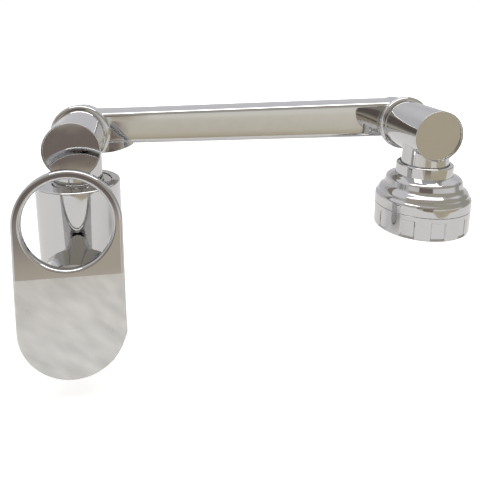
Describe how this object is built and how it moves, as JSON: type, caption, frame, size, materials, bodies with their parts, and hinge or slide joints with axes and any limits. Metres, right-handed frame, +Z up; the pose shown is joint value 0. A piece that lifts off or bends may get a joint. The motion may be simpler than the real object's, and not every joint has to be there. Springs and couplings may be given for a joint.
{
  "type": "basin mixer tap",
  "caption": "Single-lever basin mixer tap with a cylindrical body, a ring-shaped lever, and an articulated side spout that carries a tilting bell-shaped spray head.",
  "frame": {"origin": "centre of the body's base on the deck", "axes": "+Z up along the body's axis, +X along the spout towards the spray head, the lever and the hub caps face -Y"},
  "size_m": [0.2599, 0.0999, 0.1363],
  "materials": {
    "chrome": "polished",
    "rubber": "matte",
    "plastic": "moulded",
    "ceramic": "lapped ceramic",
    "brass": "turned",
    "steel": "stainless",
    "face_plastic": "moulded face plate"
  },
  "bodies": {
    "root": {"body_shell": "chrome", "base_gasket": "rubber", "swivel_ring_nut": "chrome", "swivel_thrust_washer": "plastic", "cartridge_base": "plastic", "cartridge_port_seals": "rubber", "cartridge_housing": "plastic", "fixed_disc": "ceramic", "cartridge_nut": "brass", "cartridge_dome": "chrome"},
    "turn": {"cartridge_rotor": "plastic", "stem_pin": "steel"},
    "lift": {"cartridge_stem": "steel", "lever": "chrome", "lever_screw": "steel"},
    "disc": {"moving_disc": "ceramic", "disc_carrier": "plastic"},
    "swivel": {"elbow_left": "chrome", "end_cap_left": "chrome", "swivel_seals": "rubber"},
    "arm": {"knuckle_left": "chrome", "arm_tube": "chrome", "knuckle_right": "chrome", "hub_seals_left": "rubber", "hub_seals_right": "rubber", "wave_washer_left": "steel", "wave_washer_right": "steel", "retaining_clip_left": "steel", "retaining_clip_right": "steel"},
    "head": {"elbow_right": "chrome", "end_cap_right": "chrome", "head_collar": "chrome", "head_washer": "rubber", "head_shell": "chrome", "aerator_insert": "plastic", "aerator_screens": "steel", "ring_retainer": "steel"},
    "ring": {"spray_ring": "chrome", "spray_face": "face_plastic", "mode_disc": "plastic"}
  },
  "joints": [
    {"name": "lever_turn", "type": "hinge", "parent": "root", "child": "turn", "pos_m": [0, -0.036, 0.0485], "axis": [0, 1, 0], "range_deg": [-45, 45]},
    {"name": "lever_lift", "type": "hinge", "parent": "turn", "child": "lift", "pos_m": [0, -0.036, 0.0485], "axis": [1, 0, 0], "range_deg": [0, 16]},
    {"name": "disc_slide", "type": "slide", "parent": "turn", "child": "disc", "axis": [0, 0, 1], "range_m": [0, 0.0034]},
    {"name": "spout_swivel", "type": "hinge", "parent": "root", "child": "swivel", "pos_m": [0, 0, 0.09], "axis": [0, 0, 1], "range_deg": [-90, 110]},
    {"name": "arm_tilt", "type": "hinge", "parent": "swivel", "child": "arm", "pos_m": [0, 0, 0.1193], "axis": [0, -1, 0], "range_deg": [-10, 90]},
    {"name": "head_tilt", "type": "hinge", "parent": "arm", "child": "head", "pos_m": [0.206, 0, 0.1193], "axis": [0, 1, 0], "range_deg": [-150, 150]},
    {"name": "spray_turn", "type": "hinge", "parent": "head", "child": "ring", "pos_m": [0.206, -0.005, 0.066], "axis": [0, 0, 1], "range_deg": [0, 36]}
  ],
  "couplings": [
    {"joint": "disc_slide", "follows": "lever_lift", "m_per_rad": 0.012}
  ]
}
